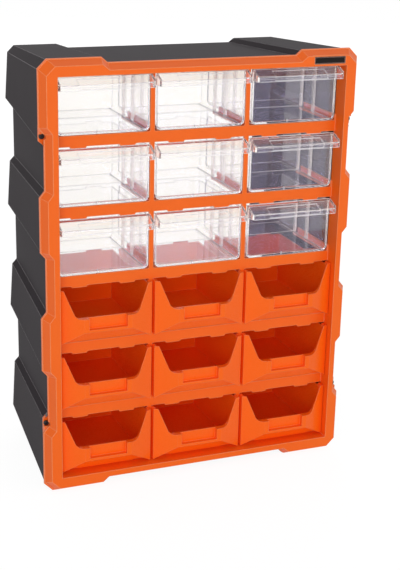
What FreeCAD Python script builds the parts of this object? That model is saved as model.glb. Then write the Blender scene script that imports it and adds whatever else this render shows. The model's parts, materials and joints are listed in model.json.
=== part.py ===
import FreeCAD, Part
import Sketcher
import math
import os

# A parts bin cabinet: a moulded front frame with a grid of 3 by 6 openings, a drafted rear
# shell screwed to it, nine clear drawers with dividers and nine open bins. Its front faces
# -Y, +X is to the right of someone in front of it, and the origin is on the surface it
# stands on, in the middle of its width and depth. "Back" is how far a plane lies behind the
# frame's front plane.

columns = 3
drawerRows = 3
binRows = 3
rows = drawerRows + binRows

sizes = {
    # whole cabinet
    "cabinet_width": 380.0,
    "cabinet_height": 504.5,
    "cabinet_depth": 200.0,
    "cut_overrun": 1.0,
    # surround of the front frame
    "surround_side_bar": 19.0,
    "surround_foot_bar": 19.5,
    "surround_top_bar": 18.0,
    "bevel_width": 6.5,
    "bevel_depth": 12.0,
    "rim_thickness": 2.5,
    "rim_lip": 1.0,
    "corner_chamfer": 10.0,
    "collar_wall": 3.0,
    # crenellations: side heights count from the grid's middle, top ones from mid-width
    "crenel_depth": 6.0,
    "crenel_slope": 7.2,
    "middle_recess_half": 31.3,
    "middle_bump_length": 62.7,
    "outer_recess_length": 47.0,
    "raised_corner_width": 78.0,
    "ridge_shrink": 2.0,
    "screw_ledge": 15.5,
    # grid
    "grid_setback": 20.0,
    "grid_thickness": 3.0,
    "grid_margin": 1.7,
    "mullion_width": 5.5,
    "strip_height": 12.5,
    "strip_flange_depth": 12.0,
    "strip_flange_thickness": 2.0,
    "opening_corner": 1.5,
    "tab_drop": 2.0,
    "tab_width": 19.5,
    "tab_offset": 28.6,
    "tab_slope": 1.2,
    # rails behind the grid
    "rail_length": 80.0,
    "rail_shelf": 7.0,
    "rail_shelf_thickness": 2.0,
    "fin_thickness": 2.2,
    "fin_height": 7.5,
    "fin_foot_drop": 5.0,
    # label plate
    "plate_width": 38.8,
    "plate_height": 8.1,
    "plate_thickness": 0.8,
    "plate_recess": 1.0,
    "plate_clearance": 0.2,
    "plate_from_side": 21.2,
    "plate_above_opening": 2.5,
    "plate_pad_margin": 1.7,
    # rear shell
    "shell_step": 1.5,
    "shell_wall": 2.5,
    "shell_back_wall": 2.5,
    # rear edge of the shell: four bumps at an even pitch, each leaning out at its foot
    "rear_side_inset": 10.6,
    "rear_top_inset": 12.1,
    "rear_recess_depth": 9.0,
    "rear_top_recess": 5.0,
    "rear_bump_pitch": 131.0,
    "rear_bump_rise": 46.0,
    "rear_bump_length": 54.0,
    "rear_bump_slope": 6.0,
    "rear_bump_lean": 3.5,
    "rear_raised_corner_width": 81.2,
    "rear_top_chamfer": 8.0,
    "rear_foot_chamfer": 31.0,
    "back_border": 24.4,
    "back_window_corner": 12.0,
    # keyholes in the border of the back
    "keyhole_from_side": 50.0,
    "keyhole_below_top": 16.0,
    "keyhole_head": 9.0,
    "keyhole_slot": 4.6,
    "keyhole_rise": 8.0,
    # screws, the frame's ears they sit in and the shell's bosses they bite into
    "ear_side_inset": 1.7,
    "ear_low": 157.5,
    "ear_slope_width": 5.4,
    "ear_slope_height": 5.0,
    "ear_top": 180.0,
    "ear_floor": 4.0,
    "ear_thickness": 3.0,
    "ear_pocket_top": 171.0,
    "ear_pocket_room": 0.5,
    "ear_clearance": 0.3,
    "screw_from_side": 4.9,
    "screw_from_middle": 168.0,
    "screw_head_diameter": 6.2,
    "screw_head_height": 2.3,
    "screw_shank_diameter": 2.6,
    "screw_head_bevel": 0.7,
    "screw_length": 18.0,
    "screw_tip": 3.0,
    "screw_clearance": 0.4,
    "boss_diameter": 8.4,
    "boss_length": 20.0,
    # fit of drawers and bins
    "back_room": 51.0,
    "side_clearance": 1.2,
    "floor_clearance": 0.4,
    "tab_clearance": 1.2,
    "stop_overlap": 1.0,
    "seat_clearance": 0.3,
    "stop_lug_length": 19.5,
    # clear drawers
    "drawer_front_back": 19.0,
    "drawer_wall": 1.8,
    "drawer_corner": 6.0,
    "runner_height": 0.4,
    "runner_width": 4.0,
    "runner_inset": 2.5,
    "runner_setback": 6.0,
    "ledge_overlap": 0.4,
    "ledge_front_corner": 5.0,
    "ledge_back_corner": 3.5,
    "ledge_wall": 2.2,
    "ledge_top_gap": 1.6,
    "ledge_slope_drop": 7.4,
    "lip_height": 6.4,
    "label_recess_depth": 0.8,
    "label_recess_lip": 1.2,
    "label_recess_half": 32.5,
    "label_recess_back": 11.5,
    "slot_rib": 1.6,
    "slot_rib_depth": 2.4,
    "slot_rib_top_gap": 3.0,
    "first_slot_back": 69.0,
    "second_slot_back": 101.5,
    # divider
    "divider_thickness": 1.6,
    "divider_clearance": 0.2,
    "divider_top_gap": 4.6,
    "divider_corner": 4.0,
    # open bins
    "bin_wall": 2.0,
    "bin_flange_side_gap": 1.9,
    "wing_edge_back": 10.5,
    "wing_crease_half": 28.5,
    "wing_thickness": 2.1,
    "wing_foot_rise": 1.0,
    "wing_top_gap": 0.9,
    "front_edge_rise": 16.8,
    "front_block_thickness": 8.0,
    "label_pocket_half": 22.7,
    "label_pocket_rise": 19.8,
    "label_pocket_depth": 6.0,
    "cutout_rise": 33.3,
    "cutout_low_half": 37.0,
    "cutout_side_margin": 5.2,
    "cutout_round": 6.0,
    "nose_setback": 6.0,
    "nose_heel_back": 13.0,
    "nose_rise": 3.4,
    "nose_flat_half": 33.5,
    "nose_side_rise": 14.0,
}

doc = FreeCAD.newDocument("PartsBinCabinet")
sheet = doc.addObject("Spreadsheet::Sheet", "Sizes")
for line, (alias, amount) in enumerate(sizes.items(), start=1):
    sheet.set(f"A{line}", alias)
    sheet.set(f"B{line}", str(amount))
    sheet.setAlias(f"B{line}", alias)
doc.recompute()


class Size:
    """A length that knows both its value and the sheet formula it comes from."""

    def __init__(self, value, text):
        self.value = value
        self.text = text

    def __add__(self, other):
        other = asSize(other)
        return Size(self.value + other.value, f"({self.text} + {other.text})")

    def __sub__(self, other):
        other = asSize(other)
        return Size(self.value - other.value, f"({self.text} - {other.text})")

    def __mul__(self, other):
        other = asSize(other)
        return Size(self.value * other.value, f"({self.text} * {other.text})")

    def __truediv__(self, other):
        other = asSize(other)
        return Size(self.value / other.value, f"({self.text} / {other.text})")

    def __neg__(self):
        return Size(-self.value, f"(0 - {self.text})")

    def __radd__(self, other):
        return asSize(other) + self

    def __rmul__(self, other):
        return asSize(other) * self

    def __rsub__(self, other):
        return asSize(other) - self


class SheetSizes:
    """The sheet's cells by name, each as a Size."""

    def __getattr__(self, alias):
        return Size(float(sheet.get(alias)), f"Sizes.{alias}")


def asSize(number):
    return number if isinstance(number, Size) else Size(float(number), repr(number))


def root(size):
    return Size(math.sqrt(size.value), f"sqrt({size.text})")


def bind(item, prop, size):
    """Ties a property to the sheet."""
    item.setExpression(prop, asSize(size).text)


S = SheetSizes()
zero = asSize(0)

# places that several sub-parts share
frontPlane = -S.cabinet_depth / 2
halfWidth = S.cabinet_width / 2
openHalf = halfWidth - S.surround_side_bar
gridBottom = S.surround_foot_bar
gridTop = S.cabinet_height - S.surround_top_bar
midHeight = (gridBottom + gridTop) / 2
openingWidth = ((openHalf - S.grid_margin) * 2 - S.mullion_width * (columns - 1)) / columns
openingHeight = (gridTop - gridBottom - S.strip_height * (rows - 1)) / rows
columnPitch = openingWidth + S.mullion_width
rowPitch = openingHeight + S.strip_height
rimBack = S.bevel_depth + S.rim_thickness
gridBack = S.grid_setback + S.grid_thickness
tabBottom = openingHeight - S.tab_drop
bodyTop = tabBottom - S.tab_clearance
lugTop = tabBottom + S.stop_overlap
bodyHalf = openingWidth / 2 - S.side_clearance
seatBack = S.grid_setback - S.seat_clearance
screwSide = halfWidth - S.screw_from_side
earFloor = rimBack + S.ear_floor
earBack = earFloor + S.ear_thickness
drawerBack = S.cabinet_depth - S.back_room


def behind(back):
    """The Y of a plane that lies this far behind the frame's front plane."""
    return frontPlane + back


def columnCentre(column):
    return columnPitch * (column - (columns - 1) / 2)


def openingFloor(row):
    """The height of an opening's lower edge, row 0 at the top."""
    return gridBottom + rowPitch * (rows - 1 - row)


# sketches and solids
turns = {
    "XY": FreeCAD.Rotation(),
    "XZ": FreeCAD.Rotation(FreeCAD.Vector(1, 0, 0), 90),
    "YZ": FreeCAD.Rotation(FreeCAD.Vector(1, 1, 1), 120),
}
normals = {
    "XY": FreeCAD.Vector(0, 0, 1),
    "XZ": FreeCAD.Vector(0, 1, 0),
    "YZ": FreeCAD.Vector(1, 0, 0),
}
levelAxes = {"XY": "z", "XZ": "y", "YZ": "x"}


def towards(corner, other, run):
    """The point on the line from a corner to another point, one run away from the corner."""
    across = other[0] - corner[0]
    along = other[1] - corner[1]
    if abs(along.value) < 1e-9:
        return (corner[0] + run * int(math.copysign(1, across.value)), corner[1])
    if abs(across.value) < 1e-9:
        return (corner[0], corner[1] + run * int(math.copysign(1, along.value)))
    length = root(across * across + along * along)
    return (corner[0] + across / length * run, corner[1] + along / length * run)


def cornerArc(first, corner, last):
    """The arc that leaves one line at first and meets the next at last, run anticlockwise,
    and whether that is from first to last."""
    a = FreeCAD.Vector(first[0].value, first[1].value, 0)
    b = FreeCAD.Vector(corner[0].value, corner[1].value, 0)
    c = FreeCAD.Vector(last[0].value, last[1].value, 0)
    middle = (a + c) / 2 - b
    halfTurn = (a - b).getAngle(c - b) / 2
    centre = b + middle.normalize() * ((a - b).Length / math.cos(halfTurn))
    radius = (a - b).Length * math.tan(halfTurn)
    forward = (a - b).cross(c - b).z < 0
    start, end = (a, c) if forward else (c, a)
    angles = [math.atan2(point.y - centre.y, point.x - centre.x) for point in (start, end)]
    if angles[1] < angles[0]:
        angles[1] += 2 * math.pi
    circle = Part.Circle(centre, FreeCAD.Vector(0, 0, 1), radius)
    return Part.ArcOfCircle(circle, angles[0], angles[1]), forward


def drawLoop(sketch, corners):
    """Draws one closed loop. A corner is (across, up), or (across, up, run) where it is
    rounded from one run before the corner to one run after it."""
    ends = []
    arcs = {}
    for number, corner in enumerate(corners):
        corner = tuple(asSize(part) for part in corner)
        if len(corner) == 2:
            ends.append(corner)
            continue
        before = tuple(asSize(part) for part in corners[number - 1])
        after = tuple(asSize(part) for part in corners[(number + 1) % len(corners)])
        arcs[len(ends)] = corner
        ends.append(towards(corner, before, corner[2]))
        ends.append(towards(corner, after, corner[2]))
    first = sketch.GeometryCount
    startEnds = []
    for number, (across, up) in enumerate(ends):
        nextEnd = ends[(number + 1) % len(ends)]
        if number in arcs:
            arc, forward = cornerArc((across, up), arcs[number], nextEnd)
            sketch.addGeometry(arc, False)
            startEnds.append(1 if forward else 2)
        else:
            line = Part.LineSegment(FreeCAD.Vector(across.value, up.value, 0),
                                    FreeCAD.Vector(nextEnd[0].value, nextEnd[1].value, 0))
            sketch.addGeometry(line, False)
            startEnds.append(1)
    for number, (across, up) in enumerate(ends):
        item = first + number
        before = first + (number - 1) % len(ends)
        start = startEnds[number]
        beforeEnd = 3 - startEnds[number - 1]
        meet = "Tangent" if number in arcs else "Coincident"
        sketch.addConstraint(Sketcher.Constraint(meet, before, beforeEnd, item, start))
        for kind, place in (("DistanceX", across), ("DistanceY", up)):
            index = sketch.addConstraint(
                Sketcher.Constraint(kind, -1, 1, item, start, place.value))
            sketch.setExpression(f"Constraints[{index}]", place.text)


def outline(name, plane, level, *loops):
    """A sketch of closed loops on a plane at the given level."""
    sketch = doc.addObject("Sketcher::SketchObject", name)
    for corners in loops:
        drawLoop(sketch, corners)
    sketch.Placement = FreeCAD.Placement(FreeCAD.Vector(), turns[plane])
    bind(sketch, f".Placement.Base.{levelAxes[plane]}", level)
    return sketch


def prism(name, plane, level, length, *loops):
    """The loops carried from a level along the plane's axis."""
    solid = doc.addObject("Part::Extrusion", name)
    solid.Base = outline(f"{name}_outline", plane, level, *loops)
    solid.DirMode = "Custom"
    solid.Dir = normals[plane]
    solid.Solid = True
    bind(solid, "LengthFwd", length)
    return solid


def loft(name, first, second):
    """The straight-sided solid between two outlines."""
    solid = doc.addObject("Part::Loft", name)
    solid.Sections = [first, second]
    solid.Solid = True
    solid.Ruled = True
    return solid


def fuse(name, *pieces):
    solid = doc.addObject("Part::MultiFuse", name)
    solid.Shapes = list(pieces)
    solid.Refine = True
    return solid


def cut(name, base, tool):
    solid = doc.addObject("Part::Cut", name)
    solid.Base = base
    solid.Tool = tool
    solid.Refine = True
    return solid


def common(name, *pieces):
    solid = doc.addObject("Part::MultiCommon", name)
    solid.Shapes = list(pieces)
    solid.Refine = True
    return solid


def copyAt(name, model, x=zero, y=zero, z=zero):
    """A copy of a model at a place of its own."""
    copied = doc.addObject("Part::Compound", name)
    copied.Links = [model]
    for axis, place in (("x", x), ("y", y), ("z", z)):
        bind(copied, f".Placement.Base.{axis}", place)
    return copied


def cylinder(name, radius, x, back, z, length):
    """A cylinder that runs backwards from a plane."""
    solid = doc.addObject("Part::Cylinder", name)
    solid.Placement = FreeCAD.Placement(
        FreeCAD.Vector(), FreeCAD.Rotation(FreeCAD.Vector(1, 0, 0), -90))
    bind(solid, "Radius", radius)
    bind(solid, "Height", length)
    bind(solid, ".Placement.Base.x", x)
    bind(solid, ".Placement.Base.y", behind(back))
    bind(solid, ".Placement.Base.z", z)
    return solid


def box(left, right, low, high):
    """The corners of an upright rectangle."""
    return [(left, low), (right, low), (right, high), (left, high)]


def frontSteps(side, shrink, ledge):
    """The right side's steps from the lowest up, the same above and below the grid's middle.
    Bumps are shorter by shrink at each end, and the outer ones by a ledge more."""
    recess = side - S.crenel_depth
    firstRise = S.middle_recess_half + shrink
    secondRise = S.middle_recess_half + S.crenel_slope + S.middle_bump_length - shrink
    thirdRise = (S.middle_recess_half + S.crenel_slope * 2 + S.middle_bump_length
                 + S.outer_recess_length + shrink + ledge)
    steps = [
        (recess, firstRise), (side, firstRise + S.crenel_slope),
        (side, secondRise), (recess, secondRise + S.crenel_slope),
        (recess, thirdRise), (side, thirdRise + S.crenel_slope),
    ]
    below = [(across, midHeight - rise) for across, rise in reversed(steps)]
    return below + [(across, midHeight + rise) for across, rise in steps]


def rearSteps(side):
    """The right side's steps at the shell's rear edge, from the lowest up."""
    recess = side - S.rear_recess_depth
    steps = []
    for number in range(-2, 2):
        low = midHeight + S.rear_bump_rise + S.rear_bump_pitch * number
        high = low + S.rear_bump_length
        if number > -2:
            steps += [(recess, low - S.rear_bump_slope), (side, low)]
        if number < 1:
            steps += [(side - S.rear_bump_lean, high), (recess, high + S.rear_bump_slope)]
    return steps


def outlineAround(steps, footSide, topSide, foot, top, footChamfer, topChamfer,
                  lowering, footRecess, topRecess):
    """The whole outline seen from the front, from the right side's steps: chamfered corners,
    and feet and a lowered middle at the top."""
    lower = [
        (lowering, foot + footRecess), (lowering + S.crenel_slope, foot),
        (footSide - footChamfer, foot), (footSide, foot + footChamfer),
    ]
    upper = [
        (topSide, top - topChamfer), (topSide - topChamfer, top),
        (lowering + S.crenel_slope, top), (lowering, top - topRecess),
    ]
    half = lower + steps + upper
    return half + [(-across, height) for across, height in reversed(half)]


def frontOutline(inset, foot, shrink, ledge, footDrop=zero):
    """The cabinet's outline at the frame, inset from the rim. The shell's feet drop below
    the floor before they are cut flat."""
    side = halfWidth - inset
    return outlineAround(
        frontSteps(side, shrink, ledge), side, side, foot - footDrop, S.cabinet_height - inset,
        S.corner_chamfer + footDrop, S.corner_chamfer,
        halfWidth - S.raised_corner_width + shrink,
        S.crenel_depth + footDrop, S.crenel_depth)


def rearOutline(inset, foot, footDrop=zero):
    """The shell's outline at its rear edge, inset by a wall or by nothing."""
    side = halfWidth - S.rear_side_inset - inset
    return outlineAround(
        rearSteps(side), side, side - S.rear_bump_lean, foot - footDrop,
        S.cabinet_height - S.rear_top_inset - inset,
        S.rear_foot_chamfer + footDrop, S.rear_top_chamfer,
        halfWidth - S.rear_raised_corner_width,
        S.crenel_depth + footDrop, S.rear_top_recess)


def buildEars(name, room, back):
    """Blocks behind the rim's outer recesses, as far as a plane and grown by some room."""
    side = halfWidth - S.ear_side_inset + room
    low = S.ear_low - room
    high = S.ear_top + room
    root = openHalf + S.collar_wall - room
    loops = []
    for hand in (-1, 1):
        for upright in (-1, 1):
            loops.append([(across * hand, midHeight + rise * upright) for across, rise in (
                (root, low), (side - S.ear_slope_width, low),
                (side, low + S.ear_slope_height), (side, high), (root, high))])
    return prism(name, "XZ", behind(rimBack), back - rimBack, *loops)


def buildFrontFrame():
    """One moulding: bevelled surround, rim, collar, grid with hanging tabs, and rails."""
    ridge = outline("surround_ridge", "XZ", frontPlane,
                    frontOutline(S.bevel_width, S.bevel_width, S.ridge_shrink, S.screw_ledge))
    base = outline("surround_base", "XZ", behind(S.bevel_depth),
                   frontOutline(S.rim_lip, S.rim_lip, zero, S.screw_ledge))
    surround = loft("surround_bevel", ridge, base)
    rim = prism("surround_rim", "XZ", behind(S.bevel_depth), S.rim_thickness,
                frontOutline(zero, zero, zero, S.screw_ledge))
    collar = prism(
        "surround_collar", "XZ", behind(S.bevel_depth), gridBack - S.bevel_depth,
        box(-openHalf - S.collar_wall, openHalf + S.collar_wall,
            gridBottom - S.collar_wall, gridTop + S.collar_wall))
    recess = prism("surround_recess", "XZ", behind(-S.cut_overrun),
                   S.grid_setback + S.cut_overrun,
                   box(-openHalf, openHalf, gridBottom, gridTop))
    # a flat pad carries the label plate across the bevel
    plateMiddle = halfWidth - S.plate_from_side - S.plate_width / 2
    plateLow = gridTop + S.plate_above_opening
    padHalf = S.plate_width / 2 + S.plate_pad_margin
    pad = prism("plate_pad", "XZ", frontPlane, S.bevel_depth,
                box(plateMiddle - padHalf, plateMiddle + padHalf, plateLow - S.plate_pad_margin,
                    plateLow + S.plate_height + S.plate_pad_margin))
    plate = cut("surround_with_plate", fuse("surround_solid", surround, rim, collar, pad,
                                            buildEars("ear", zero, earBack)), recess)

    # one row of openings, each with two tabs hanging from its upper edge; the outer ones
    # reach to the surround's wall
    openings = []
    for column in range(columns):
        middle = columnCentre(column)
        left = middle - openingWidth / 2 if column else -openHalf
        right = middle + openingWidth / 2 if column < columns - 1 else openHalf
        corners = [(left, zero, S.opening_corner), (right, zero, S.opening_corner),
                   (right, openingHeight)]
        for hand in (1, -1):
            tabMiddle = middle + S.tab_offset * hand
            tabHalf = S.tab_width / 2
            corners += [(tabMiddle + tabHalf, openingHeight),
                        (tabMiddle + tabHalf - S.tab_slope, tabBottom),
                        (tabMiddle - tabHalf + S.tab_slope, tabBottom),
                        (tabMiddle - tabHalf, openingHeight)]
        openings.append(corners + [(left, openingHeight)])
    row = prism("openings_row", "XZ", behind(S.grid_setback - S.cut_overrun),
                S.grid_thickness + S.cut_overrun * 2, *openings)
    rowCuts = [copyAt(f"openings_row_{number}", row, z=openingFloor(number))
               for number in range(rows)]
    grid = cut("surround_with_grid", plate, fuse("all_openings", *rowCuts))

    # one row of rails: an upright fin with a shelf across it, behind each mullion and at both
    # ends, and the two flanges that stiffen the strips
    finHalf = S.fin_thickness / 2
    shelfHalf = S.mullion_width / 2 + S.rail_shelf
    sections = []
    for number in range(columns - 1):
        middle = columnCentre(number) + columnPitch / 2
        shelfFoot = -S.rail_shelf_thickness
        sections.append([
            (middle - shelfHalf, shelfFoot), (middle - finHalf, shelfFoot),
            (middle - finHalf, -S.fin_foot_drop), (middle + finHalf, -S.fin_foot_drop),
            (middle + finHalf, shelfFoot), (middle + shelfHalf, shelfFoot),
            (middle + shelfHalf, zero), (middle + finHalf, zero), (middle + finHalf, S.fin_height),
            (middle - finHalf, S.fin_height), (middle - finHalf, zero), (middle - shelfHalf, zero)])
    endFace = openHalf - S.grid_margin
    for hand in (-1, 1):
        outer = (endFace + S.fin_thickness) * hand
        face = endFace * hand
        inner = (endFace - S.rail_shelf) * hand
        sections.append([
            (outer, -S.fin_foot_drop), (face, -S.fin_foot_drop), (face, -S.rail_shelf_thickness),
            (inner, -S.rail_shelf_thickness), (inner, zero),
            (face, zero), (face, S.fin_height), (outer, S.fin_height)])
    rails = prism("rails_row", "XZ", behind(S.grid_setback), S.rail_length, *sections)
    flanges = prism(
        "strip_flanges_row", "XZ", behind(S.grid_setback), S.strip_flange_depth,
        box(-openHalf, openHalf, -S.strip_flange_thickness, zero),
        box(-openHalf, openHalf, openingHeight, openingHeight + S.strip_flange_thickness))
    carrier = fuse("carrier_row", rails, flanges)
    carriers = [copyAt(f"carrier_row_{number}", carrier, z=openingFloor(number))
                for number in range(rows)]
    whole = fuse("frame_with_rails", grid, *carriers)

    room = S.plate_clearance
    tools = [prism("plate_recess_cut", "XZ", behind(-S.cut_overrun),
                   S.plate_recess + S.cut_overrun,
                   box(plateMiddle - S.plate_width / 2 - room,
                       plateMiddle + S.plate_width / 2 + room,
                       plateLow - room, plateLow + S.plate_height + room))]
    shankRadius = (S.screw_shank_diameter + S.screw_clearance) / 2
    headRadius = (S.screw_head_diameter + S.screw_clearance) / 2
    pocketSide = screwSide - headRadius - S.ear_pocket_room
    for number, (hand, upright) in enumerate(screwPlaces()):
        height = midHeight + S.screw_from_middle * upright
        tools.append(cylinder(f"screw_hole_{number}", shankRadius, screwSide * hand,
                              earFloor - S.cut_overrun, height,
                              S.ear_thickness + S.cut_overrun * 2))
        tools.append(cylinder(f"screw_counterbore_{number}", headRadius, screwSide * hand,
                              -S.cut_overrun, height, earFloor + S.cut_overrun))
        tools.append(prism(f"ear_pocket_{number}", "XZ", behind(rimBack), S.ear_floor,
                           box(pocketSide * hand, (halfWidth + S.cut_overrun) * hand,
                               midHeight + (S.ear_low - S.cut_overrun) * upright,
                               midHeight + S.ear_pocket_top * upright)))
    frame = cut("front_frame", whole, fuse("frame_cuts", *tools))

    label = doc.addObject("Part::Box", "label_plate")
    bind(label, "Length", S.plate_width)
    bind(label, "Width", S.plate_thickness)
    bind(label, "Height", S.plate_height)
    bind(label, ".Placement.Base.x", plateMiddle - S.plate_width / 2)
    bind(label, ".Placement.Base.y", behind(S.plate_recess - S.plate_thickness))
    bind(label, ".Placement.Base.z", plateLow)
    return [frame, label]


def screwPlaces():
    """Which side, and whether above or below mid-height, for each screw."""
    return [(hand, upright) for hand in (-1, 1) for upright in (-1, 1)]


def buildRearShell():
    """A drafted sleeve behind the rim with a bordered open back, bosses and keyholes."""
    rear = S.cabinet_depth
    outer = loft(
        "shell_outer",
        outline("shell_front_edge", "XZ", behind(rimBack),
                frontOutline(S.shell_step, zero, zero, zero, S.cut_overrun)),
        outline("shell_rear_edge", "XZ", behind(rear), rearOutline(zero, zero, S.cut_overrun)))
    cavity = loft(
        "shell_cavity",
        outline("cavity_front", "XZ", behind(rimBack),
                frontOutline(S.shell_step + S.shell_wall, S.shell_wall, zero, zero)),
        outline("cavity_rear", "XZ", behind(rear - S.shell_back_wall),
                rearOutline(S.shell_wall, S.shell_wall)))
    windowHalf = halfWidth - S.rear_side_inset - S.rear_recess_depth - S.back_border
    windowTop = S.cabinet_height - S.rear_top_inset - S.rear_top_recess - S.back_border
    windowLow = S.crenel_depth + S.back_border
    corner = S.back_window_corner
    window = prism(
        "back_window", "XZ", behind(rear - S.shell_back_wall - S.cut_overrun),
        S.shell_back_wall + S.cut_overrun * 2,
        [(-windowHalf, windowLow, corner), (windowHalf, windowLow, corner),
         (windowHalf, windowTop, corner), (-windowHalf, windowTop, corner)])
    belowFloor = prism("below_floor", "YZ", -halfWidth, S.cabinet_width, box(
        behind(rimBack - S.cut_overrun), behind(rear + S.cut_overrun), -S.cut_overrun * 2, zero))
    sleeve = cut("shell_sleeve", outer, fuse(
        "shell_hollow", cavity, window, belowFloor,
        buildEars("ear_notches", S.ear_clearance, earBack)))

    bosses = [cylinder(f"boss_{number}", S.boss_diameter / 2, screwSide * hand, earBack,
                       midHeight + S.screw_from_middle * upright, S.boss_length)
              for number, (hand, upright) in enumerate(screwPlaces())]
    trimmed = common("bosses_in_outline", fuse("all_bosses", *bosses), outer)
    solid = fuse("shell_with_bosses", sleeve, trimmed)

    tools = [cylinder(f"boss_hole_{number}", (S.screw_shank_diameter + S.screw_clearance) / 2,
                      screwSide * hand, earBack - S.cut_overrun,
                      midHeight + S.screw_from_middle * upright, S.boss_length - S.shell_wall)
             for number, (hand, upright) in enumerate(screwPlaces())]
    headLevel = S.cabinet_height - S.rear_top_inset - S.keyhole_below_top
    slotHalf = S.keyhole_slot / 2
    for number, hand in enumerate((-1, 1)):
        place = (halfWidth - S.keyhole_from_side) * hand
        start = rear - S.shell_back_wall - S.cut_overrun
        depth = S.shell_back_wall + S.cut_overrun * 2
        tools.append(cylinder(f"keyhole_head_{number}", S.keyhole_head / 2, place, start,
                              headLevel, depth))
        tools.append(cylinder(f"keyhole_end_{number}", slotHalf, place, start,
                              headLevel + S.keyhole_rise, depth))
        tools.append(prism(f"keyhole_slot_{number}", "XZ", behind(start), depth,
                           box(place - slotHalf, place + slotHalf,
                               headLevel, headLevel + S.keyhole_rise)))
    return [cut("rear_shell", solid, fuse("shell_cuts", *tools))]


def buildScrews():
    """Four pan-head screws, each turned from one profile, in one node."""
    body = doc.addObject("PartDesign::Body", "screw_model")
    profile = body.newObject("Sketcher::SketchObject", "screw_profile")
    plane = [item for item in body.Origin.OriginFeatures if item.Role == "XY_Plane"][0]
    profile.AttachmentSupport = [(plane, "")]
    profile.MapMode = "FlatFace"
    head = S.screw_head_diameter / 2
    shank = S.screw_shank_diameter / 2
    drawLoop(profile, [
        (zero, zero), (head - S.screw_head_bevel, zero), (head, S.screw_head_bevel),
        (head, S.screw_head_height), (shank, S.screw_head_height),
        (shank, S.screw_length - S.screw_tip), (zero, S.screw_length)])
    doc.recompute()
    turned = body.newObject("PartDesign::Revolution", "screw_turned")
    turned.Profile = profile
    turned.ReferenceAxis = (profile, ["V_Axis"])
    turned.Angle = 360
    body.Tip = turned
    placed = [copyAt(f"screw_{number}", body, screwSide * hand,
                     behind(earFloor - S.screw_head_height),
                     midHeight + S.screw_from_middle * upright)
              for number, (hand, upright) in enumerate(screwPlaces())]
    group = doc.addObject("Part::Compound", "frame_screws")
    group.Links = placed
    return [group]


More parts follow.
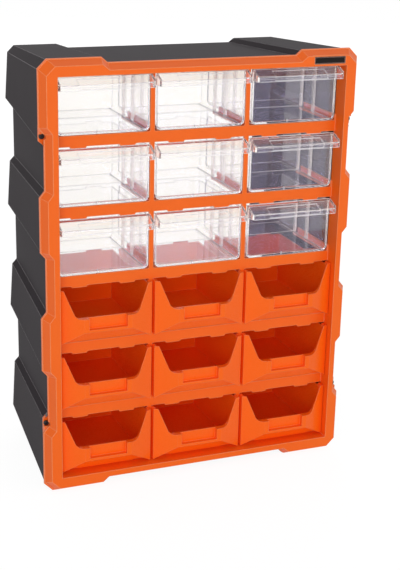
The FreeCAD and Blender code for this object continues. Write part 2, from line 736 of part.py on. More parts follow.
def buildDrawerModel():
    """A clear drawer that stands on its opening's floor, in the middle column."""
    front = S.drawer_front_back
    back = drawerBack
    wall = S.drawer_wall
    low = S.floor_clearance + S.runner_height
    tub = prism("drawer_tub", "XZ", behind(front), back - front, [
        (-bodyHalf, low, S.drawer_corner), (bodyHalf, low, S.drawer_corner),
        (bodyHalf, bodyTop), (-bodyHalf, bodyTop)])
    inside = prism("drawer_inside", "XZ", behind(front + wall), back - front - wall * 2, [
        (wall - bodyHalf, low + wall, S.drawer_corner - wall),
        (bodyHalf - wall, low + wall, S.drawer_corner - wall),
        (bodyHalf - wall, bodyTop + S.cut_overrun), (wall - bodyHalf, bodyTop + S.cut_overrun)])
    shell = cut("drawer_shell", tub, inside)

    # runners under the floor, clear of the rounded corners
    pieces = [shell]
    outerRun = bodyHalf - S.drawer_corner + S.runner_inset
    for number, hand in enumerate((-1, 1)):
        pieces.append(prism(
            f"drawer_runner_{number}", "XZ", behind(front + S.runner_setback),
            back - front - S.runner_setback,
            box((outerRun - S.runner_width) * hand, outerRun * hand,
                S.floor_clearance, low + wall / 2)))
        # lugs on the back wall that stop against the hanging tabs
        pieces.append(prism(
            f"drawer_stop_{number}", "XZ", behind(back - wall), wall,
            box((S.tab_offset - S.stop_lug_length / 2) * hand,
                (S.tab_offset + S.stop_lug_length / 2) * hand,
                bodyTop - wall, lugTop)))
        # ribs that make the divider slots
        side = bodyHalf - wall
        slotHalf = S.divider_thickness / 2 + S.divider_clearance
        ribs = []
        for place in (S.first_slot_back, S.second_slot_back):
            for edge in (place - slotHalf - S.slot_rib, place + slotHalf):
                ribs.append(box((side - S.slot_rib_depth) * hand, (side + wall / 2) * hand,
                                behind(edge), behind(edge + S.slot_rib)))
        pieces.append(prism(f"drawer_slot_ribs_{number}", "XY", low + wall / 2,
                            bodyTop - S.slot_rib_top_gap - low - wall / 2, *ribs))

    # the pull: a ledge that slopes forward and down from the front wall, and a lip that
    # hangs from its front edge and its ends
    ledgeHalf = openingWidth / 2 + S.ledge_overlap
    ledgeTop = openingHeight - S.ledge_top_gap
    lipTop = ledgeTop - S.ledge_slope_drop
    lipLow = lipTop - S.lip_height
    thick = S.ledge_wall
    innerHalf = ledgeHalf - thick
    plan = [(-ledgeHalf, frontPlane, S.ledge_front_corner),
            (ledgeHalf, frontPlane, S.ledge_front_corner),
            (ledgeHalf, behind(seatBack), S.ledge_back_corner),
            (-ledgeHalf, behind(seatBack), S.ledge_back_corner)]
    planInner = [(-innerHalf, behind(thick), S.ledge_front_corner - thick),
                 (innerHalf, behind(thick), S.ledge_front_corner - thick),
                 (innerHalf, behind(seatBack - thick), S.ledge_back_corner - thick),
                 (-innerHalf, behind(seatBack - thick), S.ledge_back_corner - thick)]
    ledgeSlab = prism("ledge_slab", "YZ", -ledgeHalf, ledgeHalf * 2, [
        (frontPlane, lipTop - thick), (behind(seatBack), ledgeTop - thick),
        (behind(seatBack), ledgeTop), (frontPlane, lipTop)])
    ledge = common("drawer_ledge", ledgeSlab,
                   prism("ledge_plan", "XY", lipLow, ledgeTop - lipLow, plan))
    lipBand = cut("lip_band", prism("lip_outer", "XY", lipLow, ledgeTop - lipLow, plan),
                  prism("lip_inner", "XY", lipLow - S.cut_overrun,
                        ledgeTop - lipLow + S.cut_overrun * 2, planInner))
    underSlope = prism("lip_under_slope", "YZ", -ledgeHalf, ledgeHalf * 2, [
        (frontPlane, lipLow), (behind(seatBack), lipLow),
        (behind(seatBack), ledgeTop), (frontPlane, lipTop)])
    lip = common("drawer_lip", lipBand, underSlope)
    # a shallow recess for the label, over the top and down the lip
    deep = S.label_recess_depth
    rise = S.ledge_slope_drop / seatBack
    recessEnd = S.label_recess_back
    labelRecess = prism("label_recess", "YZ", -S.label_recess_half, S.label_recess_half * 2, [
        (behind(-S.cut_overrun), lipLow + S.label_recess_lip),
        (behind(deep), lipLow + S.label_recess_lip), (behind(deep), lipTop + rise * deep - deep),
        (behind(recessEnd), lipTop + rise * recessEnd - deep),
        (behind(recessEnd), ledgeTop + S.cut_overrun),
        (behind(-S.cut_overrun), ledgeTop + S.cut_overrun)])
    pull = cut("drawer_pull", fuse("pull_solid", ledge, lip), labelRecess)
    # the front wall meets the ledge ahead of the grid, where the tabs leave it room
    web = prism("drawer_ledge_root", "XZ", behind(front), seatBack - front,
                box(-bodyHalf, bodyHalf, bodyTop - wall, ledgeTop - thick / 2))
    return fuse("drawer_model", *pieces, pull, web)


def buildDividerModel():
    """A flat clear divider for the second slot."""
    body = doc.addObject("PartDesign::Body", "divider_model")
    profile = body.newObject("Sketcher::SketchObject", "divider_profile")
    plane = [item for item in body.Origin.OriginFeatures if item.Role == "XZ_Plane"][0]
    profile.AttachmentSupport = [(plane, "")]
    profile.MapMode = "FlatFace"
    back = S.second_slot_back - S.divider_thickness / 2
    bind(profile, ".AttachmentOffset.Base.z", -behind(back))
    half = bodyHalf - S.drawer_wall - S.divider_clearance
    low = S.floor_clearance + S.runner_height + S.drawer_wall + S.divider_clearance
    drawLoop(profile, [
        (-half, low, S.divider_corner), (half, low, S.divider_corner),
        (half, bodyTop - S.divider_top_gap), (-half, bodyTop - S.divider_top_gap)])
    doc.recompute()
    pad = body.newObject("PartDesign::Pad", "divider_pad")
    pad.Profile = profile
    pad.Reversed = True
    bind(pad, "Length", S.divider_thickness)
    body.Tip = pad
    return body


def buildBinModel():
    """An open-front bin that stands on its opening's floor, in the middle column."""
    wall = S.bin_wall
    low = S.floor_clearance
    back = drawerBack
    flangeHalf = columnPitch / 2 - S.bin_flange_side_gap
    crease = S.wing_crease_half
    edge = S.wing_edge_back
    slope = edge / (flangeHalf - crease)
    top = openingHeight - S.wing_top_gap

    # body behind the grid
    tub = prism("bin_tub", "XZ", behind(seatBack), back - seatBack,
                box(-bodyHalf, bodyHalf, low, bodyTop))
    tubInside = prism("bin_tub_inside", "XZ", behind(seatBack + wall),
                      back - seatBack - wall * 2,
                      box(wall - bodyHalf, bodyHalf - wall, low + wall, bodyTop + S.cut_overrun))

    # nose ahead of the grid: bottom corners cut off, lower front leaning back
    def noseSection(inset, up):
        return [(inset - bodyHalf, up), (inset - bodyHalf, S.nose_side_rise + inset),
                (inset - S.nose_flat_half, S.nose_rise + inset),
                (S.nose_flat_half - inset, S.nose_rise + inset),
                (bodyHalf - inset, S.nose_side_rise + inset), (bodyHalf - inset, up)]

    def nosePlan(half, start, end, skin):
        flat = crease + (start - skin) / slope
        return [(-half, behind(end)), (-half, behind((half - crease) * slope + skin)),
                (-flat, behind(start)), (flat, behind(start)),
                (half, behind((half - crease) * slope + skin)), (half, behind(end))]

    def noseProfile(start, inset, end, up):
        return [(behind(start), up), (behind(start), S.front_edge_rise + inset / 2),
                (behind(S.nose_heel_back + inset), S.nose_rise + inset),
                (behind(end), S.nose_rise + inset), (behind(end), up)]

    noseEnd = seatBack + wall
    insideEnd = noseEnd + S.cut_overrun
    insideTop = bodyTop + S.cut_overrun
    block = S.front_block_thickness
    nose = common(
        "bin_nose",
        prism("nose_section", "XZ", frontPlane, noseEnd, noseSection(zero, bodyTop)),
        prism("nose_plan", "XY", zero, bodyTop,
              nosePlan(bodyHalf, S.nose_setback, noseEnd, S.wing_thickness / 2)),
        prism("nose_profile", "YZ", -bodyHalf, bodyHalf * 2,
              noseProfile(S.nose_setback, zero, noseEnd, bodyTop)))
    noseInside = common(
        "bin_nose_inside",
        prism("nose_inside_section", "XZ", frontPlane, insideEnd, noseSection(wall, insideTop)),
        prism("nose_inside_plan", "XY", zero, insideTop,
              nosePlan(bodyHalf - wall, block, insideEnd, S.wing_thickness)),
        prism("nose_inside_profile", "YZ", -bodyHalf, bodyHalf * 2,
              noseProfile(block, wall, insideEnd, insideTop)))

    # front: two wings that lean back from a flat middle, with returns to the grid
    inner = bodyHalf - wall / 2
    flat = crease + (block - S.wing_thickness) / slope
    frontPlan = prism("bin_front_plan", "XY", zero, top, [
        (-flangeHalf, behind(seatBack)), (-flangeHalf, behind(edge)),
        (-crease, frontPlane), (crease, frontPlane),
        (flangeHalf, behind(edge)), (flangeHalf, behind(seatBack)),
        (inner, behind(seatBack)),
        (inner, behind((inner - crease) * slope + S.wing_thickness)),
        (flat, behind(block)), (-flat, behind(block)),
        (-inner, behind((inner - crease) * slope + S.wing_thickness)),
        (-inner, behind(seatBack))])
    frontFace = prism("bin_front_face", "XZ", frontPlane, seatBack, [
        (-flangeHalf, S.wing_foot_rise), (-crease, S.front_edge_rise),
        (crease, S.front_edge_rise), (flangeHalf, S.wing_foot_rise),
        (flangeHalf, top), (-flangeHalf, top)])
    front = common("bin_front", frontPlan, frontFace)

    cutoutTop = top + S.cut_overrun
    topHalf = flangeHalf - S.cutout_side_margin
    lean = (topHalf - S.cutout_low_half) / (top - S.cutout_rise)
    cutoutTopHalf = S.cutout_low_half + lean * (cutoutTop - S.cutout_rise)
    cutout = prism("bin_cutout", "XZ", behind(-S.cut_overrun), noseEnd + S.cut_overrun, [
        (-S.cutout_low_half, S.cutout_rise, S.cutout_round),
        (S.cutout_low_half, S.cutout_rise, S.cutout_round),
        (cutoutTopHalf, cutoutTop), (-cutoutTopHalf, cutoutTop)])
    pocket = prism("bin_label_pocket", "XZ", behind(-S.cut_overrun),
                   S.label_pocket_depth + S.cut_overrun,
                   box(-S.label_pocket_half, S.label_pocket_half,
                       S.label_pocket_rise, cutoutTop))
    stops = prism("bin_stops", "XZ", behind(back - wall), wall, *[
        box((S.tab_offset - S.stop_lug_length / 2) * hand,
            (S.tab_offset + S.stop_lug_length / 2) * hand,
            bodyTop - wall, lugTop) for hand in (-1, 1)])
    solid = fuse("bin_solid", tub, nose, front, stops)
    hollow = fuse("bin_hollow", tubInside, noseInside, cutout, pocket)
    return cut("bin_model", solid, hollow)


parts = buildFrontFrame() + buildRearShell() + buildScrews()
drawerModel = buildDrawerModel()
dividerModel = buildDividerModel()
binModel = buildBinModel()
for row in range(rows):
    for column in range(columns):
        spot = f"r{row + 1}_c{column + 1}"
        place = {"x": columnCentre(column), "z": openingFloor(row)}
        if row < drawerRows:
            parts.append(copyAt(f"clear_drawer_{spot}", drawerModel, **place))
            parts.append(copyAt(f"divider_{spot}", dividerModel, **place))
        else:
            parts.append(copyAt(f"open_bin_{spot}", binModel, **place))

doc.recompute()

for item in doc.Objects:
    if "Invalid" in item.State or "Error" in item.State:
        raise RuntimeError(f"{item.Name} is not computed: {item.State}")
for part in parts:
    if part.Shape.isNull() or not part.Shape.isValid():
        raise RuntimeError(f"{part.Label} has no valid shape")

os.makedirs("parts", exist_ok=True)
for part in parts:
    part.Shape.exportStep(f"parts/{part.Label}.step")
    solids = part.Shape.Solids
    print(part.Label, len(solids), "solid(s)", round(sum(s.Volume for s in solids) / 1000, 2), "cm3")
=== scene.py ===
import json
import math

import bpy
import numpy as np
from mathutils import Matrix, Vector

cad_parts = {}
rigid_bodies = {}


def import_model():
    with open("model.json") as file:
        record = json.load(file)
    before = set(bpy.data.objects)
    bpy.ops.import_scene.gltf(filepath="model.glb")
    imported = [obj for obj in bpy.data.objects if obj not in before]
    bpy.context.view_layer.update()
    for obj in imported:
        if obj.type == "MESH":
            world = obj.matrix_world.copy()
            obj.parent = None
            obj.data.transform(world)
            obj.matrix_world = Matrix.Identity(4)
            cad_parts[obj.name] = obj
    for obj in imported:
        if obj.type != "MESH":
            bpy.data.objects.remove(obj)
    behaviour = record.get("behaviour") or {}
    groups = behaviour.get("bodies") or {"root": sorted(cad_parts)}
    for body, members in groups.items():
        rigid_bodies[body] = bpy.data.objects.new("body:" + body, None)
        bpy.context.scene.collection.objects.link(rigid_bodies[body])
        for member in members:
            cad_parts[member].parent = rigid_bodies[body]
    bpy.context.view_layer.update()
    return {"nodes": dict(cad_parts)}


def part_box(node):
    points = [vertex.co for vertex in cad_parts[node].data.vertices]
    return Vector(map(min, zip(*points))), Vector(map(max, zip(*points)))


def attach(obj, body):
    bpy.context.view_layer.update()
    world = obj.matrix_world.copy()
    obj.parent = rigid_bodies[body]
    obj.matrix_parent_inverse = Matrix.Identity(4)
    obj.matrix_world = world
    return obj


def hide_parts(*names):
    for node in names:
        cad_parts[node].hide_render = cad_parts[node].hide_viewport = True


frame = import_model()
scene = bpy.context.scene
for leftover in [item for item in scene.objects if item.name in ("Cube", "Light", "Camera")]:
    bpy.data.objects.remove(leftover)
print("frame loaded:", len(frame["nodes"]), "nodes")


def nodeBox(node):
    # the lowest and the highest corner of a CAD node at rest, in metres
    return tuple(np.array(corner, dtype=float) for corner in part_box(node))


def linearColour(code, alpha=1.0):
    # hex sRGB to linear: c / 12.92 up to 0.04045, else ((c + 0.055) / 1.055) ** 2.4
    parts = np.array([int(code[i:i + 2], 16) for i in (1, 3, 5)]) / 255
    linear = np.where(parts <= 0.04045, parts / 12.92, ((parts + 0.055) / 1.055) ** 2.4)
    return (*linear.tolist(), alpha)


def addNode(tree, kind, settings=None, **links):
    # settings: attributes or sockets by name; links: a socket's name or i and its number
    node = tree.nodes.new(kind)
    for key, value in (settings or {}).items():
        if isinstance(key, str) and hasattr(node, key):
            setattr(node, key, value)
        else:
            node.inputs[key].default_value = value
    for key, source in links.items():
        numbered = key[0] == "i" and key[1:].isdigit()
        tree.links.new(source, node.inputs[int(key[1:]) if numbered else key.replace("_", " ")])
    return node


def newMaterial(name):
    material = bpy.data.materials.new(name)
    material.use_nodes = True
    return material, material.node_tree, material.node_tree.nodes["Principled BSDF"]


def objectPlace(tree):
    return addNode(tree, "ShaderNodeTexCoord").outputs["Object"]


def roundedNormal(tree, radius, samples=4):
    # the normal as if every edge had this radius
    return addNode(tree, "ShaderNodeBevel", {"samples": samples, "Radius": radius}).outputs["Normal"]


def edgeHighlightShare(tree, rounded, look):
    # mask of the painted edge highlight: 0 on flats and 1 where the rounded normal leaves the true one:
    # (1 - n . m) / edgeFull
    true = addNode(tree, "ShaderNodeNewGeometry").outputs["Normal"]
    both = addNode(tree, "ShaderNodeVectorMath", {"operation": "DOT_PRODUCT"}, i0=rounded, i1=true)
    return addNode(tree, "ShaderNodeMapRange", {
        "From Min": 1.0, "From Max": 1.0 - look["edgeFull"]},
        Value=both.outputs["Value"]).outputs["Result"]


def wear(node, material):
    # gives every slot of a CAD node's object one material
    body = frame["nodes"][node]
    if not body.material_slots:
        body.data.materials.append(material)
    for place in body.material_slots:
        place.material = material


# Orange: polypropylene moulded on fine spark-eroded steel. Satin, with a painted highlight, a pale
# tone along the soft edges, and a faint mottle where the resin flowed.
orange = {
    "colour": "#F86C18",
    "flowColour": "#F36613",
    "edgeHighlightColour": "#FCB080",
    "edgeFull": 0.1,
    "edgeHighlightLevel": 0.85,
    "edgeRound": 0.0013,
    "flowWidth": 0.045,          # m
    "flowDetail": 3.0,
    "sparkWidth": 0.0009,        # m, drawn coarser than the real 0.1 mm so that it shows
    "sparkDetail": 1.0,
    "sparkHeight": 0.00002,
    "sparkStrength": 0.25,
    "roughness": 0.42,
    "roughnessSpread": 0.04,
    "specular": 0.26,
}

# Bin orange: the same resin from a smoother mould, deeper in colour and glossier, so that
# the walls light each other up inside.
# the painted edge highlight is weaker on the bins
binOrange = dict(orange, colour="#FE6A12", flowColour="#FB650F", edgeHighlightLevel=0.5, edgeRound=0.0009,
                 roughness=0.28, specular=0.2)

# Dark grey: the same resin filled with carbon black, on a coarser spark finish.
grey = {
    "colour": "#332D31",
    "flowColour": "#2E292C",
    # painted highlight: a pale grey along the rounded edges
    "edgeHighlightColour": "#A39DA0",
    "edgeFull": 0.1,
    "edgeHighlightLevel": 0.85,
    "edgeRound": 0.0015,
    "flowWidth": 0.06,
    "flowDetail": 3.0,
    "sparkWidth": 0.0011,
    "sparkDetail": 1.0,
    "sparkHeight": 0.00003,
    "sparkStrength": 0.25,
    "roughness": 0.5,
    "roughnessSpread": 0.04,
    "specular": 0.02,
}

# Black label blank: acrylonitrile styrene, polished in the mould, with a faint dust haze.
blank = {
    "colour": "#17110F",
    "flowColour": "#1D1614",
    # painted highlight: a pale pinkish tone along the rounded edges
    "edgeHighlightColour": "#C9A59A",
    "edgeFull": 0.1,
    "edgeHighlightLevel": 0.8,
    "edgeRound": 0.0006,
    "flowWidth": 0.008,
    "flowDetail": 3.0,
    "sparkWidth": 0.0006,
    "sparkDetail": 1.0,
    "sparkHeight": 0.000006,
    "sparkStrength": 0.25,
    "roughness": 0.3,
    "roughnessSpread": 0.04,
    "specular": 0.12,
}


def moulded(name, look):
    material, tree, shader = newMaterial(name)
    place = objectPlace(tree)
    rounded = roundedNormal(tree, look["edgeRound"])
    flow = addNode(tree, "ShaderNodeTexNoise", {
        "Scale": 1 / look["flowWidth"], "Detail": look["flowDetail"]}, Vector=place)
    spark = addNode(tree, "ShaderNodeTexNoise", {
        "Scale": 1 / look["sparkWidth"], "Detail": look["sparkDetail"]}, Vector=place)
    tone = addNode(tree, "ShaderNodeMix", {
        "data_type": "RGBA", 6: linearColour(look["colour"]),
        7: linearColour(look["flowColour"])}, i0=flow.outputs["Fac"])
    # painted highlight: the colour turns toward the pale edge tone where the edge mask rises
    edge = addNode(tree, "ShaderNodeMath", {"operation": "MULTIPLY", 1: look["edgeHighlightLevel"]},
                   i0=edgeHighlightShare(tree, rounded, look))
    colour = addNode(tree, "ShaderNodeMix", {
        "data_type": "RGBA", 7: linearColour(look["edgeHighlightColour"])},
        i0=edge.outputs[0], i6=tone.outputs[2])
    bump = addNode(tree, "ShaderNodeBump", {
        "Strength": look["sparkStrength"], "Distance": look["sparkHeight"]},
        Height=spark.outputs["Fac"], Normal=rounded)
    gloss = addNode(tree, "ShaderNodeMapRange", {
        "To Min": look["roughness"] - look["roughnessSpread"],
        "To Max": look["roughness"] + look["roughnessSpread"]}, Value=spark.outputs["Fac"])
    tree.links.new(colour.outputs[2], shader.inputs["Base Color"])
    tree.links.new(gloss.outputs["Result"], shader.inputs["Roughness"])
    tree.links.new(bump.outputs["Normal"], shader.inputs["Normal"])
    shader.inputs["Specular IOR Level"].default_value = look["specular"]
    return material


# Clear: crystal polystyrene from a polished mould. It shows what is behind it and a pale veil
# of reflections, bluish over dark and warm over white, and a painted highlight along its rounded
# edges, where less light passes and the colour turns pale, so they read as pale lines.
clear = {
    "colour": "#FFFEFD",
    # painted highlight: the pale colour of the edges
    "edgeHighlightColour": "#FFFBFA",
    "veilColour": "#CFC8FF",
    "roughness": 0.03,
    "ior": 1.42,
    "edgeFull": 0.06,
    "edgeRound": 0.0013,
    "clearness": 0.985,          # share of light that passes on a flat
    # share that passes on an edge, under the painted highlight
    "edgeClearness": 0.35,
    "shadowTint": "#F4F2F4",
    "flowWidth": 0.03,
    "flowDetail": 1.0,
    "flowHeight": 0.00001,
    "flowStrength": 0.2,
}


def clearPlastic(name, look):
    material, tree, shader = newMaterial(name)
    rounded = roundedNormal(tree, look["edgeRound"])
    # painted highlight: along the rounded edges less light passes and the colour turns pale
    edge = edgeHighlightShare(tree, rounded, look)
    passing = addNode(tree, "ShaderNodeMapRange", {
        "To Min": look["clearness"], "To Max": look["edgeClearness"]}, Value=edge)
    tone = addNode(tree, "ShaderNodeMix", {
        "data_type": "RGBA", 6: linearColour(look["colour"]),
        7: linearColour(look["edgeHighlightColour"])}, i0=edge)
    flow = addNode(tree, "ShaderNodeTexNoise", {
        "Scale": 1 / look["flowWidth"], "Detail": look["flowDetail"]}, Vector=objectPlace(tree))
    bump = addNode(tree, "ShaderNodeBump", {
        "Strength": look["flowStrength"], "Distance": look["flowHeight"]},
        Height=flow.outputs["Fac"])
    tree.links.new(passing.outputs["Result"], shader.inputs["Transmission Weight"])
    tree.links.new(bump.outputs["Normal"], shader.inputs["Normal"])
    tree.links.new(tone.outputs[2], shader.inputs["Base Color"])
    shader.inputs["Roughness"].default_value = look["roughness"]
    shader.inputs["IOR"].default_value = look["ior"]
    shader.inputs["Specular Tint"].default_value = linearColour(look["veilColour"])
    through = addNode(tree, "ShaderNodeBsdfTransparent",
                      {"Color": linearColour(look["shadowTint"])})
    path = addNode(tree, "ShaderNodeLightPath")
    mix = addNode(tree, "ShaderNodeMixShader", i0=path.outputs["Is Shadow Ray"],
                  i1=shader.outputs[0], i2=through.outputs[0])
    tree.links.new(mix.outputs[0], tree.nodes["Material Output"].inputs["Surface"])
    return material


# Steel, black oxide: dark and slightly mottled, with a dull metal sheen.
oxide = {
    "colour": "#2A2829",
    "wornColour": "#4A4648",
    "mottleWidth": 0.0007,
    "mottleDetail": 4.0,
    "roughness": 0.42,
    "roughnessSpread": 0.1,
}


def blackOxide(name, look):
    material, tree, shader = newMaterial(name)
    mottle = addNode(tree, "ShaderNodeTexNoise", {
        "Scale": 1 / look["mottleWidth"], "Detail": look["mottleDetail"]},
        Vector=objectPlace(tree))
    tone = addNode(tree, "ShaderNodeMix", {
        "data_type": "RGBA", 6: linearColour(look["colour"]), 7: linearColour(look["wornColour"])},
        i0=mottle.outputs["Fac"])
    gloss = addNode(tree, "ShaderNodeMapRange", {
        "To Min": look["roughness"] - look["roughnessSpread"],
        "To Max": look["roughness"] + look["roughnessSpread"]}, Value=mottle.outputs["Fac"])
    tree.links.new(tone.outputs[2], shader.inputs["Base Color"])
    tree.links.new(gloss.outputs["Result"], shader.inputs["Roughness"])
    shader.inputs["Metallic"].default_value = 1.0
    return material


orangePlastic = moulded("polypropylene_moulded_orange", orange)
binPlastic = moulded("polypropylene_moulded_gloss_orange", binOrange)
greyPlastic = moulded("polypropylene_moulded_dark_grey", grey)
blankPlastic = moulded("acrylonitrile_styrene_moulded_black", blank)
clearPolystyrene = clearPlastic("polystyrene_moulded_clear", clear)
oxideSteel = blackOxide("steel_black_oxide", oxide)
coats = {"front_frame": orangePlastic, "open_bin": binPlastic, "rear_shell": greyPlastic,
         "label_plate": blankPlastic, "frame_screws": oxideSteel,
         "clear_drawer": clearPolystyrene, "divider": clearPolystyrene}
for node in frame["nodes"]:
    inGrid = node[-3:-1] == "_c"             # open_bin_r4_c1 is an open_bin
    wear(node, coats[node[:-len("_r0_c0")] if inGrid else node])
print("materials given")


def addPiece(name, vertices, faces, material, body, smooth=True):
    mesh = bpy.data.meshes.new(name)
    mesh.from_pydata(vertices.tolist(), [], faces)
    mesh.materials.append(material)
    mesh.polygons.foreach_set("use_smooth", np.full(len(mesh.polygons), smooth))
    mesh.update()
    piece = bpy.data.objects.new(name, mesh)
    scene.collection.objects.link(piece)
    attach(piece, body)
    return piece


def skinLoops(loops):
    # quads between neighbouring closed loops and a cap at each end; loops is (n, m, 3), and
    # the side is kept outward by the sign of the volume, sum of a . (b x c) / 6
    count, size = loops.shape[:2]
    vertices = loops.reshape(-1, 3)
    start = (np.arange(count - 1)[:, None] * size + np.arange(size)[None, :])
    following = np.roll(start, -1, axis=1)
    quads = np.stack([start, following, following + size, start + size], axis=-1).reshape(-1, 4)
    a, b, c, d = (vertices[quads[:, i]] for i in range(4))
    volume = (np.einsum("ij,ij->i", a, np.cross(b, c)) + np.einsum("ij,ij->i", a, np.cross(c, d))).sum()
    first = np.arange(size)[::-1]
    last = np.arange(size) + (count - 1) * size
    if volume < 0:
        quads, first, last = quads[:, ::-1], first[::-1], last[::-1]
    return vertices, quads.tolist() + [first.tolist(), last.tolist()]


# four pan-head screws with a cross recess, in the round pockets of the frame
screws = {
    "headRadius": 0.0031,
    "centreRadius": 0.00012,           # of the innermost ring, closed by a cap
    "topRings": 22,
    "headHeight": 0.0023,
    "edgeRound": 0.0009,
    "shankRadius": 0.0013,
    "length": 0.018,
    "tip": 0.003,
    "tipShare": 0.15,                  # of the shank's radius
    "recessHalfWidth": 0.00042,
    "recessHalfLength": 0.0018,
    "recessDepth": 0.0012,
    "recessSideFade": 3,               # how steep the recess's walls are
    "recessEndFade": 2.2,
    "turnSteps": 72,
}


def screwLoops(look):
    # head top: depth = edge round * (1 - sqrt(1 - u * u)) plus the recess, which is
    # full where |x| or |y| is under its half width and fades out along its arms
    turn = np.linspace(0, 2 * math.pi, look["turnSteps"], endpoint=False)
    topRadii = np.linspace(look["centreRadius"], look["headRadius"], look["topRings"])
    inward = np.clip((topRadii - look["headRadius"] + look["edgeRound"]) / look["edgeRound"], 0, 1)
    topDepth = look["edgeRound"] * (1 - np.sqrt(1 - inward ** 2))
    radii = np.concatenate([topRadii, [look["headRadius"], look["shankRadius"],
                                       look["shankRadius"], look["shankRadius"] * look["tipShare"]]])
    depth = np.concatenate([topDepth, [look["headHeight"], look["headHeight"],
                                       look["length"] - look["tip"], look["length"]]])
    across = radii[:, None] * np.cos(turn)[None, :]
    up = radii[:, None] * np.sin(turn)[None, :]
    back = np.broadcast_to(depth[:, None], across.shape).copy()
    arms = np.minimum(np.abs(across), np.abs(up))
    along = np.maximum(np.abs(across), np.abs(up))
    sideShare = np.clip((1 - arms / look["recessHalfWidth"]) * look["recessSideFade"], 0, 1)
    endShare = np.clip((1 - along / look["recessHalfLength"]) * look["recessEndFade"], 0, 1)
    top = slice(0, len(topRadii))
    back[top] += (look["recessDepth"] * sideShare * endShare)[top]
    return np.stack([across, back, up], axis=-1)


# the screws stand at the four corners of their node's box
low, high = nodeBox("frame_screws")
oneScrew, screwFaces = skinLoops(screwLoops(screws))
vertexSets, faceSets = [], []
for across in (low[0] + screws["headRadius"], high[0] - screws["headRadius"]):
    for up in (low[2] + screws["headRadius"], high[2] - screws["headRadius"]):
        first = len(vertexSets) * len(oneScrew)
        vertexSets.append(oneScrew + np.array([across, low[1], up]))
        faceSets += [[corner + first for corner in face] for face in screwFaces]
screwPiece = addPiece("pan_head_screws", np.concatenate(vertexSets), faceSets, oxideSteel, "cabinet")
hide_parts("frame_screws")
print("screws built")

# blank label plate: a rounded slab with a thin raised rim
plate = {
    "corner": 0.0008,
    "leastCornerShare": 0.2,
    "edge": 0.0002,
    "edgeStepShare": 0.3,        # where the middle step of the rounded edge lies
    "rim": 0.0007,
    "sunk": 0.0002,
    "cornerSteps": 8,
}


def roundedLoop(look, box, inset, y):
    # corner centre + radius * (cos a, sin a), a quarter turn at each corner of the node's
    # box, drawn in by the inset
    steps = look["cornerSteps"]
    middle, half = (box[0] + box[1]) / 2, (box[1] - box[0]) / 2
    radius = max(look["corner"] - inset, look["corner"] * look["leastCornerShare"])
    turn = np.concatenate([np.linspace(0, math.pi / 2, steps) + math.pi / 2 * i for i in range(4)])
    sideX = np.repeat([1, -1, -1, 1], steps) * (half[0] - inset - radius)
    sideZ = np.repeat([1, 1, -1, -1], steps) * (half[2] - inset - radius)
    return np.stack([middle[0] + sideX + radius * np.cos(turn), np.full(turn.shape, y),
                     middle[2] + sideZ + radius * np.sin(turn)], axis=-1)


plateBox = nodeBox("label_plate")
plateFront, plateBack = plateBox[0][1], plateBox[1][1]
edgeStep = plate["edge"] * plate["edgeStepShare"]
plateLoops = np.stack([roundedLoop(plate, plateBox, inset, y) for inset, y in (
    (0, plateBack), (0, plateFront + plate["edge"]), (edgeStep, plateFront + edgeStep),
    (plate["edge"], plateFront), (plate["rim"], plateFront),
    (plate["rim"] + plate["sunk"], plateFront + plate["sunk"]))])
platePiece = addPiece("blank_label_plate", *skinLoops(plateLoops), blankPlastic, "cabinet", False)
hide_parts("label_plate")
print("label plate built")

# the mark that the mould's gate leaves at the foot of each drawer's front
gate = {
    "across": -0.0075,           # from the drawer's middle
    "up": 0.0028,                # above the drawer's foot
    "half": (0.0008, 0.0023),
    "faceBack": 0.019,           # the drawer's face behind its pull
    "proud": 0.0006,
    "turnSteps": 24,
    "rings": 7,
    "lastRingShare": 0.93,       # of a quarter turn; a cap closes it
}


def gateLoops(look, box):
    # rings of an ellipse that shrink to the front: share = cos a, height = proud * sin a
    turn = np.linspace(0, 2 * math.pi, look["turnSteps"], endpoint=False)[None, :]
    lift = np.linspace(0, math.pi / 2 * look["lastRingShare"], look["rings"])[:, None]
    middle = (box[0][0] + box[1][0]) / 2 + look["across"]
    across = middle + look["half"][0] * np.cos(lift) * np.cos(turn)
    up = box[0][2] + look["up"] + look["half"][1] * np.cos(lift) * np.sin(turn)
    back = box[0][1] + look["faceBack"] - look["proud"] * np.sin(lift) + np.zeros(turn.shape)
    return np.stack([across, back, up], axis=-1)


for drawer in sorted(node for node in frame["nodes"] if node.startswith("clear_drawer")):
    mark = addPiece(drawer.replace("clear_drawer", "gate_mark"),
                    *skinLoops(gateLoops(gate, nodeBox(drawer))), clearPolystyrene, drawer)
print("gate marks built")

# floor, backdrop and light: a soft studio with the lamps in front
studio = {
    "floorHalf": 6.0,
    "floorColour": "#F2F2F2",
    "floorRoughness": 0.9,
    "floorSpecular": 0.1,
    "glowShare": 0.86,           # share of plain white that the camera sees on the floor; the
    "glowLevel": 1.08,           # rest is lit, so it keeps the shadow and they add up to white
    "worldLevel": 0.54,
    "key": {"place": (-2.0, -4.7, 1.4), "size": 2.4, "power": 84.0, "colour": "#FFFFFF",
            "shows": True},
    "fill": {"place": (2.6, -4.4, 1.5), "size": 2.4, "power": 28.0, "colour": "#F2F4FF",
             "shows": True},
    "back": {"place": (1.2, 3.6, 1.6), "size": 2.0, "power": 45.0, "colour": "#FFFFFF",
             "shows": False},     # not mirrored or seen through the drawers
    "aim": (0, 0, 0.25),
}


def seenDirectly(tree):
    # 1 for rays from the camera, off a gloss or through a clear wall, else 0
    path = addNode(tree, "ShaderNodeLightPath").outputs
    through = addNode(tree, "ShaderNodeMath", {"operation": "MAXIMUM"},
                      i0=path["Is Camera Ray"], i1=path["Is Transmission Ray"])
    return addNode(tree, "ShaderNodeMath", {"operation": "MAXIMUM"},
                   i0=through.outputs[0], i1=path["Is Glossy Ray"]).outputs[0]


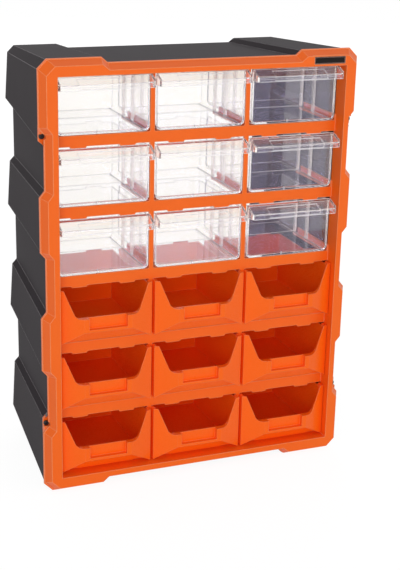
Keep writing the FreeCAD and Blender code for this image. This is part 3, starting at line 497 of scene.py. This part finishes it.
half = studio["floorHalf"]
floorMesh = bpy.data.meshes.new("studio_floor")
floorMesh.from_pydata([(-half, -half, 0), (half, -half, 0), (half, half, 0), (-half, half, 0)],
                      [], [(0, 1, 2, 3)])
floor = bpy.data.objects.new("studio_floor", floorMesh)
scene.collection.objects.link(floor)
paper, paperTree, paperShader = newMaterial("paper_matt_white")
paperShader.inputs["Base Color"].default_value = linearColour(studio["floorColour"])
paperShader.inputs["Roughness"].default_value = studio["floorRoughness"]
paperShader.inputs["Specular IOR Level"].default_value = studio["floorSpecular"]
glow = addNode(paperTree, "ShaderNodeEmission", {"Strength": studio["glowLevel"]})
share = addNode(paperTree, "ShaderNodeMath", {"operation": "MULTIPLY", 1: studio["glowShare"]},
                i0=seenDirectly(paperTree))
floorMix = addNode(paperTree, "ShaderNodeMixShader", i0=share.outputs[0],
                   i1=paperShader.outputs[0], i2=glow.outputs[0])
paperTree.links.new(floorMix.outputs[0], paperTree.nodes["Material Output"].inputs["Surface"])
floorMesh.materials.append(paper)

world = bpy.data.worlds.new("studio_world")
scene.world = world
world.use_nodes = True
worldTree = world.node_tree
worldTree.nodes["Background"].inputs["Color"].default_value = (1, 1, 1, 1)
worldTree.nodes["Background"].inputs["Strength"].default_value = studio["worldLevel"]
whiteBack = addNode(worldTree, "ShaderNodeBackground", {"Color": (1, 1, 1, 1), "Strength": 1.0})
worldMix = addNode(worldTree, "ShaderNodeMixShader", i0=seenDirectly(worldTree),
                   i1=worldTree.nodes["Background"].outputs[0], i2=whiteBack.outputs[0])
worldTree.links.new(worldMix.outputs[0], worldTree.nodes["World Output"].inputs["Surface"])

for name in ("key", "fill", "back"):
    lamp = studio[name]
    data = bpy.data.lights.new(f"studio_{name}", "AREA")
    data.energy, data.size, data.color = lamp["power"], lamp["size"], linearColour(lamp["colour"])[:3]
    light = bpy.data.objects.new(f"studio_{name}", data)
    light.location = lamp["place"]
    away = Vector(studio["aim"]) - Vector(lamp["place"])
    light.rotation_euler = away.to_track_quat("-Z", "Y").to_euler()
    light.visible_glossy = light.visible_transmission = lamp["shows"]
    scene.collection.objects.link(light)
print("studio set")

# camera, found from the photograph's edges
view = {
    "place": (-0.5415, -1.4022, 0.7133),
    "yaw": 0.3913,
    "pitch": 0.3244,
    "roll": -0.0242,
    "focal": 1285.7,             # in pixels of an image this high
    "imageHeight": 570,
    "sensorHeight": 36.0,        # mm
    "clip": (0.05, 50.0),
}
yaw, pitch, roll = view["yaw"], view["pitch"], view["roll"]
ahead = Vector((math.sin(yaw) * math.cos(pitch), math.cos(yaw) * math.cos(pitch), -math.sin(pitch)))
aside = Vector((math.cos(yaw), -math.sin(yaw), 0))
upward = aside.cross(ahead)
rolledAside = aside * math.cos(roll) - upward * math.sin(roll)
rolledUp = aside * math.sin(roll) + upward * math.cos(roll)
camera = bpy.data.objects.new("photo_camera", bpy.data.cameras.new("photo_camera"))
camera.matrix_world = Matrix.Translation(view["place"]) @ Matrix(
    (rolledAside, rolledUp, -ahead)).transposed().to_4x4()
camera.data.sensor_fit = "VERTICAL"
camera.data.sensor_height = view["sensorHeight"]
camera.data.lens = view["focal"] * view["sensorHeight"] / view["imageHeight"]
camera.data.clip_start, camera.data.clip_end = view["clip"]
scene.collection.objects.link(camera)
scene.camera = camera
scene.view_settings.view_transform = "Standard"
print("camera set")

# many bounces, because light runs along the inside of the clear walls
bounces = {"max_bounces": 64, "glossy_bounces": 48, "diffuse_bounces": 8,
           "transmission_bounces": 48, "transparent_max_bounces": 32}
for limit, count in bounces.items():
    setattr(scene.cycles, limit, count)
print("bounces set")
